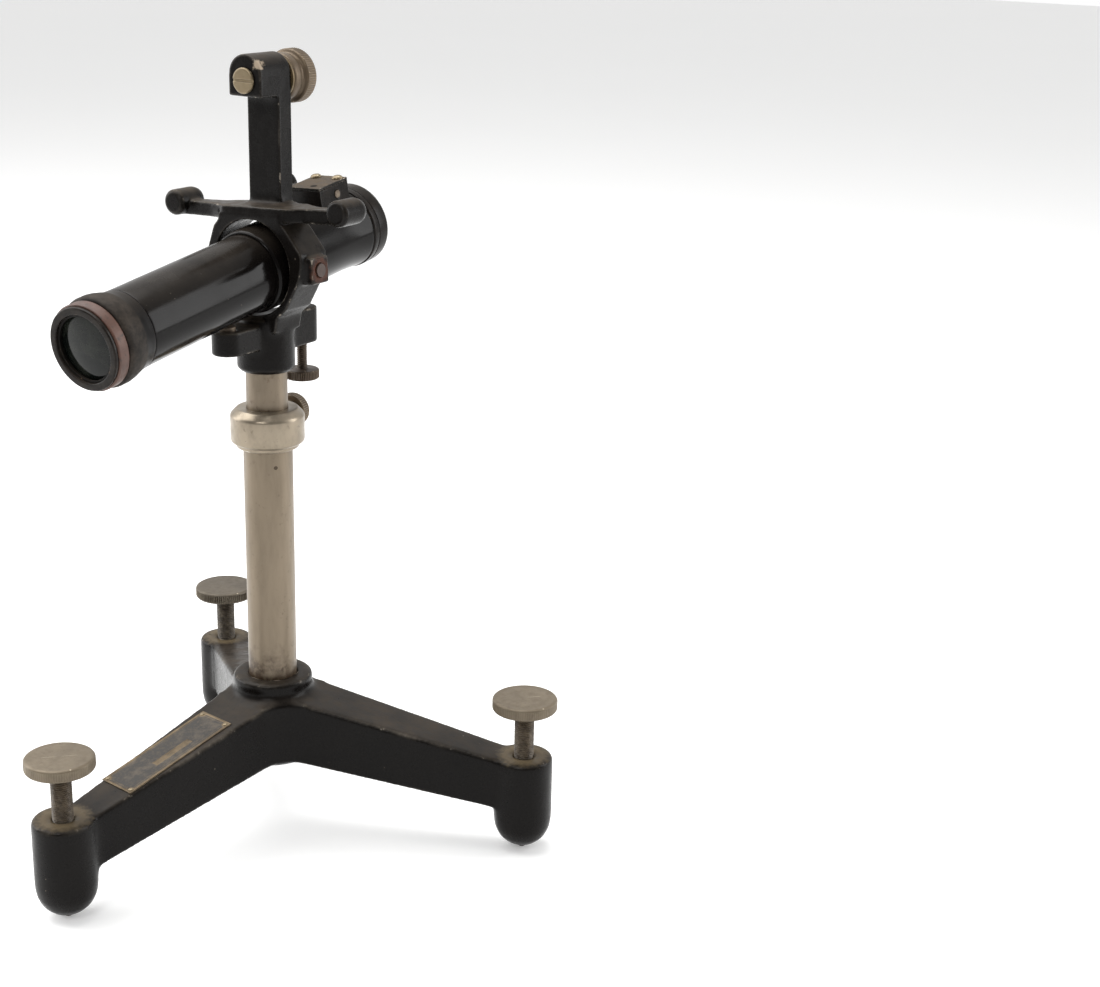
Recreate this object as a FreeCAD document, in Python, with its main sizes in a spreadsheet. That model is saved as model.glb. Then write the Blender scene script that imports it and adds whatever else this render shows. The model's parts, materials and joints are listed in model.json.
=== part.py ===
import FreeCAD, Part
import os
import math
import Sketcher
from FreeCAD import Vector as V, Placement, Rotation

# Reading telescope on a three-legged levelling stand.
# Row frame: +Z up, origin on the floor under the column axis, the objective points to -Y,
# +X is the right-hand end of the scale bar. All sizes in millimetres.

os.makedirs("parts", exist_ok=True)
doc = FreeCAD.newDocument("ReadingTelescope")
sheet = doc.addObject("Spreadsheet::Sheet", "Params")

SIZES = dict(
    # stand
    leg_reach=103.2, leg_root_at=10.0, leg_end_at=97.0,
    leg_root_wide=27.4, leg_end_wide=15.8, leg_root_top=59.7, leg_end_top=39.35,
    leg_root_low=33.3, leg_end_low=18.3,
    hub_rad=16.5, hub_low=31.0, hub_neck_low=58.0, hub_neck_rad=15.0, web_low=33.4, web_top=58.6, lip_low=62.5, lip_rad=15.8, lip_top=66.4,
    foot_rad=11.6, foot_top=40.3, foot_cyl_low=13.5, foot_low=1.2, foot_flat=2.9,
    screw_bore=4.02, screw_bore_low=7.0, point_bore=1.9,
    # levelling screws, 5/16 inch shank
    disc_rad=12.9, disc_thick=4.9, disc_top=65.0, shank_rad=3.97, shank_low=20.0, neck_rad=4.6, neck_tall=1.2,
    point_rad=1.7, point_top=26.0, point_hole=1.75,
    # column 3/4 inch, rod 5/8 inch
    col_rad=9.525, col_bore=8.0, col_low=34.0, col_top=172.0, rod_rad=7.94, rod_low=80.0, rod_top=207.0,
    collar_rad=14.26, collar_low=160.6, collar_mid=163.3, collar_full=173.4, collar_top=176.2, collar_lip=12.3,
    clamp_at=169.8, clamp_stud=2.5, pad_rad=2.4, clamp_knob_rad=6.8,
    key_at=154.2, key_rad=1.0,
    # head casting
    socket_rad=11.0, socket_low=191.0, socket_top=212.0, socket_bore=8.0, socket_bore_top=207.3,
    arm_half=6.0, arm_reach=21.5, front_low=201.0, front_top=210.2, rear_low=198.2, rear_top=212.0,
    ring_deep=15.0, ring_bore=18.0, pivot_at=231.2, boss_out=26.9, boss_half_tall=5.0, boss_half_deep=4.8,
    pivot_rad=2.5, pivot_tip=1.5, pivot_seat=1.55,
    bar_half=38.8, bar_end_deep=2.8, bar_mid_deep=7.0, bar_low=248.6, bar_top=254.0, lug_rad=4.9, lug_at=253.4, lug_half=7.2,
    post_half=7.5, post_front=1.2, post_rear=8.6, barrel_at=301.6, bolt_at=299.7, barrel_rad=7.5, barrel_half=8.7, barrel_low=293.9,
    bolt_rad=2.5, bolt_head_rad=4.7, bolt_head=1.3, clamp_hub_rad=8.8, clamp_rim_rad=10.0,
    # tilt screw and spring plunger
    tilt_rad=2.05, tilt_bore=2.1, tilt_head_rad=6.7, tilt_head_low=183.0, tilt_head_top=187.0, tilt_top=216.6,
    plunger_rad=3.1, plunger_bore=3.15, plunger_low=203.8, plunger_top=212.9,
    # telescope
    tube_rad=14.6, tube_bore=12.58, flare_rad=15.5, cap_rad=15.9, end_rad=13.8,
    draw_rad=12.5, draw_bore=11.5, collar_max=16.4, band_rad=15.6, rim_rad=14.9, lens_rad=12.2,
    trunnion_rad=15.9, trunnion_half=10.0, rack_half=2.0, slot_half=2.3,
    block_half=7.6, block_front=29.0, block_long=17.7, block_top=20.6, plate_thick=1.1, pinion_at=39.4, pinion_height=16.9, shaft_rad=1.5,
    knob_rad=7.5, eye_rad=7.0, holder_bore=7.06, eyecap_rad=7.8,
    # nameplate
    plate_half=8.5, plate_long=51.0, plate_tall=0.5, plate_pin=0.9,
)
CANT = 3.0                       # ring, pivots and bar lean this much, right-hand end up
TILT = 8.4                       # objective end hangs down by this many degrees
LEGS = {"front": -98.26, "right": 21.74, "rear": 141.74}
CLAMP_AZ = 101.3
KEY_AZ = -32.9
MODULE, TEETH = 0.5, 14

for i, (k, val) in enumerate(SIZES.items()):
    cell = "B%d" % (i + 1)
    sheet.set("A%d" % (i + 1), k)
    sheet.set(cell, str(val))
    sheet.setAlias(cell, k)
doc.recompute()


class Q:
    """A size together with the sheet expression that gives it."""
    def __init__(self, val, text): self.v, self.e = float(val), text
    def _o(self, other, sign, flip=False):
        o = q(other)
        a, b = (o, self) if flip else (self, o)
        val = {"+": a.v + b.v, "-": a.v - b.v, "*": a.v * b.v, "/": a.v / b.v if b.v else 0}[sign]
        return Q(val, "(%s %s %s)" % (a.e, sign, b.e))
    def __add__(self, o): return self._o(o, "+")
    def __radd__(self, o): return self._o(o, "+", True)
    def __sub__(self, o): return self._o(o, "-")
    def __rsub__(self, o): return self._o(o, "-", True)
    def __mul__(self, o): return self._o(o, "*")
    def __rmul__(self, o): return self._o(o, "*", True)


def q(x): return x if isinstance(x, Q) else Q(x, "%.6g" % x if x >= 0 else "(%.6g)" % x)
def S(name): return Q(SIZES[name], "Params." + name)
def val(name): return SIZES[name]


def bind(obj, prop, size):
    size = q(size)
    setattr(obj, prop, size.v)
    if "Params." in size.e:
        obj.setExpression(prop, size.e)


def along(base, axis): return Placement(V(*base), Rotation(V(0, 0, 1), V(*axis)))


def cyl(rad, long, base=(0, 0, 0), axis=(0, 0, 1), frame=None):
    c = doc.addObject("Part::Cylinder", "cyl")
    bind(c, "Radius", rad)
    bind(c, "Height", long)
    p = along(base, axis)
    c.Placement = frame.multiply(p) if frame else p
    return c


def box(lx, ly, lz, base, frame=None):
    b = doc.addObject("Part::Box", "box")
    bind(b, "Length", lx)
    bind(b, "Width", ly)
    bind(b, "Height", lz)
    p = Placement(V(*base), Rotation())
    b.Placement = frame.multiply(p) if frame else p
    return b


def fuse(name, objs):
    f = doc.addObject("Part::MultiFuse", name)
    f.Shapes = objs
    return f


def cut(name, base, tools):
    c = doc.addObject("Part::Cut", name)
    c.Base = base
    c.Tool = tools[0] if len(tools) == 1 else fuse(name + "_tools", tools)
    return c


def plane(body, role):
    return [f for f in body.Origin.OriginFeatures if f.Role == role][0]


def outline(sk, pts):
    """Closed outline whose corner positions are all bound to the sheet."""
    n = len(pts)
    P = [(q(a), q(b)) for a, b in pts]
    for i in range(n):
        a, b = P[i], P[(i + 1) % n]
        sk.addGeometry(Part.LineSegment(V(a[0].v, a[1].v, 0), V(b[0].v, b[1].v, 0)), False)
    for i in range(n):
        sk.addConstraint(Sketcher.Constraint("Coincident", i, 2, (i + 1) % n, 1))
    for i, (a, b) in enumerate(P):
        for kind, size, axis in (("DistanceX", a, -2), ("DistanceY", b, -1)):
            if abs(size.v) < 1e-9:
                sk.addConstraint(Sketcher.Constraint("PointOnObject", i, 1, axis))
            else:
                c = sk.addConstraint(Sketcher.Constraint(kind, -1, 1, i, 1, size.v))
                if "Params." in size.e and size.v > 0:
                    sk.setExpression("Constraints[%d]" % c, size.e)


def turned(name, pts, place=None):
    """A lathe-turned piece: pts are (radius, height along the axis)."""
    body = doc.addObject("PartDesign::Body", name)
    sk = body.newObject("Sketcher::SketchObject", name + "_profile")
    sk.AttachmentSupport = (plane(body, "XZ_Plane"), [""])
    sk.MapMode = "FlatFace"
    outline(sk, pts)
    rev = body.newObject("PartDesign::Revolution", name + "_turn")
    rev.Profile = sk
    rev.ReferenceAxis = (sk, ["V_Axis"])
    rev.Angle = 360
    body.Tip = rev
    if place:
        body.Placement = place
    return body


def padded(name, pts, deep, holes=(), place=None):
    """A plate cut to an outline in the XZ plane, centred on Y."""
    body = doc.addObject("PartDesign::Body", name)
    sk = body.newObject("Sketcher::SketchObject", name + "_profile")
    sk.AttachmentSupport = (plane(body, "XZ_Plane"), [""])
    sk.MapMode = "FlatFace"
    outline(sk, pts)
    for cx, cz, r in holes:
        g = sk.addGeometry(Part.Circle(V(cx, q(cz).v, 0), V(0, 0, 1), q(r).v), False)
        c = sk.addConstraint(Sketcher.Constraint("Radius", g, q(r).v))
        sk.setExpression("Constraints[%d]" % c, q(r).e)
        sk.addConstraint(Sketcher.Constraint("PointOnObject", g, 3, -2))
        c = sk.addConstraint(Sketcher.Constraint("DistanceY", -1, 1, g, 3, q(cz).v))
        sk.setExpression("Constraints[%d]" % c, q(cz).e)
    pad = body.newObject("PartDesign::Pad", name + "_pad")
    pad.Profile = sk
    pad.Midplane = True
    bind(pad, "Length", deep)
    body.Tip = pad
    if place:
        body.Placement = place
    return body


NODES = {}


def node(name, obj):
    obj.Label = name
    NODES[name] = obj
    return obj


# ------------------------------------------------------------------ tripod base
hub = turned("hub_casting", [(0, S("hub_low")), (S("hub_rad") - 1.5, S("hub_low")), (S("hub_rad"), S("hub_low") + 1.5),
                             (S("hub_rad"), S("hub_neck_low") - 3.0), (S("hub_rad") + 2.1, S("hub_neck_low") - 0.4),
                             (S("hub_neck_rad") + 1.2, S("hub_neck_low") + 1.2), (S("hub_neck_rad"), S("hub_neck_low") + 3.0),
                             (S("hub_neck_rad"), S("lip_low")), (S("lip_rad"), S("lip_low") + 0.8),
                             (S("lip_rad"), S("lip_top") - 0.8), (S("lip_rad") - 0.8, S("lip_top")), (0, S("lip_top"))])
limbs, bores, FOOT = [hub], [], {}
for leg, az in LEGS.items():
    turn = Placement(V(0, 0, 0), Rotation(V(0, 0, 1), az - 90))
    w = doc.addObject("Part::Wedge", "leg_" + leg)
    for prop, size in (("Xmin", S("leg_root_wide") * -0.5), ("Xmax", S("leg_root_wide") * 0.5),
                       ("X2min", S("leg_end_wide") * -0.5), ("X2max", S("leg_end_wide") * 0.5),
                       ("Ymin", S("leg_root_at")), ("Ymax", S("leg_end_at")),
                       ("Zmin", S("leg_root_low")), ("Zmax", S("leg_root_top")),
                       ("Z2min", S("leg_end_low")), ("Z2max", S("leg_end_top"))):
        bind(w, prop, size)
    w.Placement = turn
    a = math.radians(az)
    x, y = val("leg_reach") * math.cos(a), val("leg_reach") * math.sin(a)
    FOOT[leg] = (x, y)
    foot = turned("foot_" + leg, [(0, S("foot_low")), (S("foot_flat"), S("foot_low")), (S("foot_flat") + 3.7, S("foot_low") + 2.1),
                                  (S("foot_flat") + 6.4, S("foot_low") + 4.7), (S("foot_rad") - 0.6, S("foot_low") + 8.3),
                                  (S("foot_rad"), S("foot_cyl_low")), (S("foot_rad"), S("foot_top") - 0.7),
                                  (S("foot_rad") - 0.7, S("foot_top")), (0, S("foot_top"))], Placement(V(x, y, 0), Rotation()))
    limbs += [w, foot]
    bores += [cyl(S("screw_bore"), S("foot_top") - S("screw_bore_low") + 1, (x, y, val("screw_bore_low"))),
              cyl(S("point_bore"), S("screw_bore_low") + 0.5, (x, y, 0))]
# the legs run into each other round the hub in hollow curves of 18 mm radius
for k, az in enumerate(LEGS.values()):
    web = Placement(V(0, 0, (val("web_low") + val("web_top")) / 2), Rotation(V(0, 0, 1), az + 60)).multiply(
        Placement(V(0, 0, 0), Rotation(V(1, 0, 0), 90)))
    limbs.append(padded("leg_web_%d" % k, [
        (2, 8.5), (20.3, 8.9), (19.3, 6.9), (18.6, 4.7), (18.15, 2.4), (18.0, 0.0), (18.15, -2.4), (18.6, -4.7), (19.3, -6.9), (20.3, -8.9), (2, -8.5)],
        S("web_top") - S("web_low"), (), web))
bores.append(cyl(S("col_rad"), S("lip_top") - S("col_low") + 1, (0, 0, val("col_low"))))
GRUB_AZ = math.radians(81.74)
gx, gy = math.cos(GRUB_AZ), math.sin(GRUB_AZ)
bores.append(cyl(2.0, 8.5, (gx * 9.0, gy * 9.0, 48), (gx, gy, 0)))
casting = fuse("tripod_solid", limbs)
node("tripod_base", cut("tripod_base", casting, bores))
node("column_grub_screw", cyl(2.0, 5.6, (gx * 9.53, gy * 9.53, 48), (gx, gy, 0)))

# nameplate on the sloping top of the front leg
slope = math.atan((val("leg_root_top") - val("leg_end_top")) / (val("leg_end_at") - val("leg_root_at")))
at = 54.2
ztop = val("leg_root_top") - (at - val("leg_root_at")) * math.tan(slope)
legf = Placement(V(0, 0, 0), Rotation(V(0, 0, 1), LEGS["front"] - 90)).multiply(
    Placement(V(0, at, ztop), Rotation(V(1, 0, 0), -math.degrees(slope))))
half = val("plate_long") / 2
sheet_metal = box(S("plate_half") * 2, S("plate_long"), S("plate_tall"), (-val("plate_half"), -half, 0), legf)
corners = [(sx * (val("plate_half") - 1.7), sy * (half - 1.7)) for sx in (-1, 1) for sy in (-1, 1)]
holes = [cyl(S("plate_pin"), S("plate_tall") + 1, (cx, cy, -0.5), frame=legf) for cx, cy in corners]
node("nameplate", cut("nameplate", sheet_metal, holes))
for i, (cx, cy) in enumerate(corners):
    node("nameplate_pin_%d" % (i + 1), cyl(S("plate_pin"), S("plate_tall") + 0.35, (cx, cy, 0), frame=legf))

# ------------------------------------------------------------------ levelling screws
for leg, (x, y) in FOOT.items():
    at_foot = Placement(V(x, y, 0), Rotation())
    low = S("disc_top") - S("disc_thick")
    r, p = S("shank_rad"), S("point_hole")
    node("levelling_screw_" + leg, turned("levelling_screw_" + leg, [
        (p, S("shank_low")), (r - 0.6, S("shank_low")), (r, S("shank_low") + 0.6), (r, low - S("neck_tall")),
        (S("neck_rad"), low - S("neck_tall")), (S("neck_rad"), low),
        (S("disc_rad") - 0.8, low), (S("disc_rad"), low + 0.8), (S("disc_rad"), S("disc_top") - 0.8),
        (S("disc_rad") - 0.8, S("disc_top")), (0, S("disc_top")), (0, S("point_top") + 0.2), (p, S("point_top") + 0.2)], at_foot))
    pr = S("point_rad")
    node("levelling_point_" + leg, turned("levelling_point_" + leg, [
        (0, 0), (pr - 0.4, 0), (pr, 0.6), (pr, S("point_top")), (0, S("point_top"))], at_foot))

# ------------------------------------------------------------------ column, collar, rod
ca = math.radians(CLAMP_AZ)
cx, cy = math.cos(ca), math.sin(ca)
ka = math.radians(KEY_AZ)
kx, ky = math.cos(ka), math.sin(ka)
col = turned("column_blank", [(S("col_bore"), S("col_low")), (S("col_rad"), S("col_low")), (S("col_rad"), S("col_top")), (S("col_bore"), S("col_top"))])
node("column_tube", cut("column_tube", col, [
    cyl(S("clamp_stud") + 0.1, 4, (cx * 7, cy * 7, val("clamp_at")), (cx, cy, 0)),
    cyl(S("key_rad"), 4, (kx * 7, ky * 7, val("key_at")), (kx, ky, 0))]))
ring = turned("collar_blank", [
    (S("col_rad"), S("collar_low")), (S("collar_lip") - 0.6, S("collar_low")), (S("collar_lip"), S("collar_low") + 0.6),
    (S("collar_lip"), S("collar_mid") - 1.2), (S("collar_rad"), S("collar_mid")), (S("collar_rad"), S("collar_full")),
    (S("collar_rad") - 2.4, S("collar_top")), (S("col_bore"), S("collar_top")), (S("col_bore"), S("col_top")), (S("col_rad"), S("col_top"))])
node("clamp_collar", cut("clamp_collar", ring, [cyl(S("clamp_stud") + 0.05, 8, (cx * 7, cy * 7, val("clamp_at")), (cx, cy, 0))]))
node("column_key_pin", cyl(S("key_rad"), 2.45, (kx * 7.15, ky * 7.15, val("key_at")), (kx, ky, 0)))
rod = cyl(S("rod_rad"), S("rod_top") - S("rod_low"), (0, 0, val("rod_low")))
groove = box(6, 2.3, 78, (6.95, -1.15, 87), Placement(V(0, 0, 0), Rotation(V(0, 0, 1), KEY_AZ)))
node("inner_rod", cut("inner_rod", rod, [groove]))

# collar clamp: the screw turns on the stem of its brass pad
clampf = along((0, 0, val("clamp_at")), (cx, cy, 0))
node("collar_clamp_pad", turned("collar_clamp_pad", [
    (0, 8.05), (S("pad_rad"), 8.05), (S("pad_rad"), 10.5), (1.0, 10.5), (1.0, 13.2), (0, 13.2)], clampf))
kr = S("clamp_knob_rad")
node("collar_clamp_screw", turned("collar_clamp_screw", [
    (1.05, 10.6), (S("clamp_stud"), 10.6), (S("clamp_stud"), 15.6), (5.0, 16.2), (5.0, 17.4), (kr - 0.6, 17.4), (kr, 18.0),
    (kr, 21.8), (kr - 0.7, 22.5), (0, 22.5), (0, 13.4), (1.05, 13.4)], clampf))

# ------------------------------------------------------------------ head casting (yoke)
z0 = S("pivot_at")
KP = Placement(V(0, 0, val("pivot_at")), Rotation(V(0, 1, 0), -CANT)).multiply(Placement(V(0, 0, -val("pivot_at")), Rotation()))
BP = Placement(V(0.8, 0, 251.2), Rotation(V(0, 1, 0), -CANT)).multiply(Placement(V(0, 0, -251.2), Rotation()))
yoke_plate = padded("yoke_plate", [
    (-9.5, 207), (9.5, 207), (11.0, 213), (15.3, 216.3), (20.1, 223.8), (22.5, 228.0), (23.8, 233.0), (24.0, 237.5), (17.2, 246.2),
    (14.4, 249.0), (14.4, S("bar_low") + 2.6), (-14.4, S("bar_low") + 2.6), (-14.4, 249.0), (-17.2, 246.2), (-20.8, 237.5), (-21.0, 233.0), (-20.6, 228.0), (-19.2, 223.8), (-15.3, 216.3), (-11.0, 213)],
    S("ring_deep"), [(0, z0, S("ring_bore"))], KP)
flat = BP.multiply(Placement(V(0, 0, (val("bar_low") + val("bar_top")) / 2), Rotation(V(1, 0, 0), 90)))
ends, ed, md = S("bar_half"), S("bar_end_deep"), S("bar_mid_deep")
bar = padded("scale_bar", [
    (ends * -1, ed), (-22, ed + 1.4), (-14.5, md), (14.5, md), (22, ed + 1.4), (ends, ed),
    (ends, ed * -1), (22, ed * -1 - 1.4), (14.5, S("post_rear") * -1), (-14.5, S("post_rear") * -1), (-22, ed * -1 - 1.4), (ends * -1, ed * -1)],
    S("bar_top") - S("bar_low"), (), flat)


def lug(name, x):
    lh, lr = S("lug_half"), S("lug_rad")
    return turned(name, [(0, lh * -1), (lr - 1.1, lh * -1), (lr, lh * -1 + 1.1), (lr, lh - 3.2), (lr - 0.7, lh - 1.2), (lr - 2.2, lh - 0.2), (0, lh)],
                  BP.multiply(along((x, 0, val("lug_at")), (0, 1, 0))))


bt, bd = val("boss_half_tall"), val("boss_half_deep")
pieces = [yoke_plate,
          cyl(S("socket_rad"), S("socket_top") - S("socket_low") - 1.5, (0, 0, val("socket_low") + 1.5)),
          turned("socket_end", [(0, S("socket_low")), (S("socket_rad") - 1.5, S("socket_low")), (S("socket_rad"), S("socket_low") + 1.5), (0, S("socket_low") + 1.5)]),
          box(S("arm_half") * 2, S("arm_reach"), S("front_top") - S("front_low"), (-val("arm_half"), -val("arm_reach"), val("front_low"))),
          cyl(S("arm_half"), S("front_top") - S("front_low"), (0, -val("arm_reach"), val("front_low"))),
          box(S("arm_half") * 2, S("arm_reach"), S("rear_top") - S("rear_low"), (-val("arm_half"), 0, val("rear_low"))),
          cyl(S("arm_half"), S("rear_top") - S("rear_low"), (0, val("arm_reach"), val("rear_low"))),
          box(S("boss_out") - 20, S("boss_half_deep") * 2, S("boss_half_tall") * 2, (20, -bd, val("pivot_at") - bt), KP),
          box(S("boss_out") - 20, S("boss_half_deep") * 2, S("boss_half_tall") * 2, (-val("boss_out"), -bd, val("pivot_at") - bt), KP),
          bar, lug("lug_left", -val("bar_half")), lug("lug_right", val("bar_half")),
          box(S("post_half") * 2, S("post_rear") - S("post_front"), S("barrel_at") - S("bar_top") + 3,
              (-val("post_half"), val("post_front"), val("bar_top") - 3)),
          box(S("post_half") * 2 + 2.8, S("post_rear") - S("post_front") + 1.2, S("bar_top") + 0.5 - 251,
              (-val("post_half") - 1.4, val("post_front") - 1.2, 251), BP),
          box(S("barrel_rad") * 2, S("barrel_half") * 2, S("barrel_at") - S("barrel_low"), (-val("barrel_rad"), -val("barrel_half"), val("barrel_low"))),
          cyl(S("barrel_rad"), S("barrel_half") * 2, (0, -val("barrel_half"), val("barrel_at")), (0, 1, 0))]
solid = fuse("yoke_solid", pieces)
zp = val("pivot_at")
ar = val("arm_reach")
node("yoke_casting", cut("yoke_casting", solid, [
    cyl(S("socket_bore"), S("socket_bore_top") - S("socket_low") + 1, (0, 0, val("socket_low") - 1)),
    cyl(S("pivot_rad"), 15, (17, 0, zp), (1, 0, 0), KP),
    cyl(S("pivot_rad"), 15, (-17, 0, zp), (-1, 0, 0), KP),
    cyl(S("tilt_bore"), 20, (0, ar, 195)),
    cyl(S("plunger_bore"), 14, (0, -ar, 200)),
    cyl(S("bolt_rad"), 22, (0, -11, val("bolt_at")), (0, 1, 0)),
    cyl(1.6, 5, (-7, 0, 194.5), (-1, 0, 0)),
    cyl(S("ring_bore"), 40, (0, -20, zp), (0, 1, 0))]))
node("head_set_screw", cyl(1.6, 3.0, (-8.1, 0, 194.5), (-1, 0, 0)))
for side, sx in (("right", 1), ("left", -1)):
    node("pivot_screw_" + side, turned("pivot_screw_" + side, [
        (0, 13.6), (S("pivot_tip") - 0.3, 13.6), (S("pivot_tip"), 13.9), (S("pivot_tip"), 17.9), (S("pivot_rad"), 17.9),
        (S("pivot_rad"), S("boss_out") + 0.4), (0, S("boss_out") + 0.4)], KP.multiply(along((0, 0, zp), (sx, 0, 0)))))

# tilt screw below the rear lug, turning on its steel button
behind = Placement(V(0, ar, 0), Rotation())
th = S("tilt_head_rad")
node("tilt_screw", turned("tilt_screw", [
    (0, S("tilt_head_low")), (th - 0.5, S("tilt_head_low")), (th, S("tilt_head_low") + 0.5), (th, S("tilt_head_top") - 0.5),
    (th - 0.5, S("tilt_head_top")), (S("tilt_rad"), S("tilt_head_top")), (S("tilt_rad"), S("tilt_top")), (0.85, S("tilt_top")),
    (0.85, 213.0), (0, 213.0)], behind))
node("tilt_button", turned("tilt_button", [
    (0, 213.2), (0.8, 213.2), (0.8, 216.8), (2.0, 216.8), (2.0, 218.3), (1.4, 219.0), (0, 219.3)], behind))

# spring plunger in the front lobe
ahead = Placement(V(0, -ar, 0), Rotation())
node("plunger_plug", cyl(S("plunger_bore"), 1.2, (0, -ar, val("front_low"))))
pr = S("plunger_rad")
node("plunger", turned("plunger", [
    (2.45, S("plunger_low")), (pr, S("plunger_low")), (pr, S("plunger_top") - 1.4), (pr - 1.3, S("plunger_top") - 0.3),
    (0, S("plunger_top")), (0, S("plunger_top") - 1.5), (2.45, S("plunger_top") - 1.5)], ahead))
helix = doc.addObject("Part::Helix", "plunger_spring_path")
helix.Pitch = 1.5
helix.Height = 8.2
helix.Radius = 1.9
wire = doc.addObject("Part::Circle", "plunger_spring_section")
wire.Radius = 0.3
wire.Placement = Placement(V(1.9, 0, 0), Rotation(V(0, 0, 1), V(0, 1, 0)))
coil = doc.addObject("Part::Sweep", "plunger_spring")
coil.Sections = [wire]
coil.Spine = (helix, ["Edge1"])
coil.Solid = True
coil.Frenet = True
coil.Placement = Placement(V(0, -ar, 202.55), Rotation())
node("plunger_spring", coil)

# scale clamp through the barrel: slotted bolt, washer and knurled nut
back = along((0, 0, val("bolt_at")), (0, 1, 0))
front = along((0, 0, val("bolt_at")), (0, -1, 0))
bh = S("barrel_half")
bolt = turned("bolt_blank", [(0, bh * -1 - 11.0), (S("bolt_rad"), bh * -1 - 11.0), (S("bolt_rad"), bh),
                             (S("bolt_head_rad"), bh), (S("bolt_head_rad"), bh + S("bolt_head") - 0.4),
                             (S("bolt_head_rad") - 0.5, bh + S("bolt_head")), (0, bh + S("bolt_head"))], front)
slot = box(12, 1.0, 0.8, (-6, -0.5, val("barrel_half") + val("bolt_head") - 0.7), front)
node("scale_clamp_bolt", cut("scale_clamp_bolt", bolt, [slot]))
node("scale_clamp_washer", turned("scale_clamp_washer", [
    (2.56, bh + 0.05), (8.4, bh + 0.05), (8.4, bh + 0.8), (4.0, bh + 0.8), (4.0, bh + 2.0), (2.56, bh + 2.0)], back))
hr, rr = S("clamp_hub_rad"), S("clamp_rim_rad")
node("scale_clamp_knob", turned("scale_clamp_knob", [
    (4.05, bh + 0.85), (hr - 0.8, bh + 0.85), (hr, bh + 1.6), (hr - 0.3, bh + 6.8), (rr - 0.5, bh + 7.2), (rr, bh + 7.7), (rr, bh + 11.6),
    (rr - 0.7, bh + 12.4), (2.55, bh + 12.4), (2.55, bh + 2.1), (4.05, bh + 2.1)], back))

# ------------------------------------------------------------------ telescope, built level then tilted about the pivots
TP = Placement(V(0, 0, zp), Rotation(V(0, 1, 0), -CANT)).multiply(Placement(V(0, 0, 0), Rotation(V(1, 0, 0), TILT)))


def scope(y0):
    """Lathe axis laid along the telescope, height 0 at station y0 and growing towards the eye end."""
    return TP.multiply(Placement(V(0, y0, 0), Rotation(V(1, 0, 0), -90)))


tr, tb = S("tube_rad"), S("tube_bore")
# stations count from the front end of the tube at y = -84
tube = turned("tube_blank", [
    (tb, 0), (13.7, 0), (13.7, 8), (tr, 8), (tr, 122), (tr + 0.35, 127.5), (S("flare_rad"), 132.0), (S("flare_rad"), 132.8),
    (S("end_rad"), 132.8), (S("end_rad"), 138), (tb, 138)], scope(-84))
node("telescope_tube", cut("telescope_tube", tube, [
    box(S("slot_half") * 2, 45, 2.5, (-val("slot_half"), 11.5, 11.5), TP),
    box(4.8, 8.8, 6, (-2.4, val("pinion_at") - 4.4, 11.5), TP),
    cyl(S("pivot_seat"), 3, (13.4, 0, 0), (1, 0, 0), TP),
    cyl(S("pivot_seat"), 3, (-13.4, 0, 0), (-1, 0, 0), TP)]))
trun = turned("trunnion_blank", [
    (tr, 0), (S("trunnion_rad") - 0.8, 0), (S("trunnion_rad"), 0.8), (S("trunnion_rad"), S("trunnion_half") * 2 - 0.8),
    (S("trunnion_rad") - 0.8, S("trunnion_half") * 2), (tr, S("trunnion_half") * 2)], scope(-val("trunnion_half")))
node("trunnion_band", cut("trunnion_band", trun, [
    cyl(S("pivot_seat"), 5, (13.4, 0, 0), (1, 0, 0), TP), cyl(S("pivot_seat"), 5, (-13.4, 0, 0), (-1, 0, 0), TP)]))
cm = S("collar_max")
node("objective_collar", turned("objective_collar", [
    (13.2, 0), (cm - 0.9, 0), (cm - 0.2, 0.5), (cm, 1.4), (cm, 4.4), (cm - 0.5, 7.0), (tr + 0.6, 10.2), (tr, 14.0),
    (13.7, 14.0), (13.7, 6.0), (13.2, 6.0)], scope(-90)))
node("objective_cell", turned("objective_cell", [
    (S("lens_rad"), 0), (S("rim_rad") - 0.3, 0), (S("rim_rad"), 0.3), (S("rim_rad"), 1.5), (14.3, 1.5), (14.3, 6.25), (13.2, 6.25),
    (13.2, 12.0), (11.2, 12.0), (11.2, 9.2), (S("lens_rad"), 9.2)], scope(-96.3)))
node("objective_band", turned("objective_band", [
    (14.3, 0), (S("band_rad") - 0.3, 0), (S("band_rad"), 0.3), (S("band_rad"), 4.3), (S("band_rad") - 0.3, 4.6), (14.3, 4.6)], scope(-94.75)))
lr = S("lens_rad")
node("objective_retainer", turned("objective_retainer", [(11.3, 0), (lr, 0), (lr, 1.4), (11.6, 1.4)], scope(-95.3)))
node("objective_crown", turned("objective_crown", [
    (0, 0), (4, 0.12), (8, 0.5), (11.0, 0.98), (lr, 1.2), (lr, 2.7), (11.0, 2.95), (8, 3.45), (4, 3.9), (0, 4.05)], scope(-94.65)))
node("objective_flint", turned("objective_flint", [
    (0, 1.45), (4, 1.3), (8, 0.85), (11.0, 0.35), (lr, 0.1), (lr, 3.9), (0, 3.9)], scope(-91.95 - 0.1)))
node("rear_cap", cut("rear_cap", turned("rear_cap_blank", [
    (12.56, 9.3), (S("cap_rad") - 1.2, 9.3), (S("cap_rad"), 8.1), (S("cap_rad"), 0.4), (S("cap_rad") - 0.4, 0.05), (S("end_rad"), 0.05),
    (S("end_rad"), 5.3), (12.56, 5.3)], scope(49)), [box(S("slot_half") * 2 + 0.2, 12, 3.0, (-val("slot_half") - 0.1, 48, 11.2), TP)]))

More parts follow.
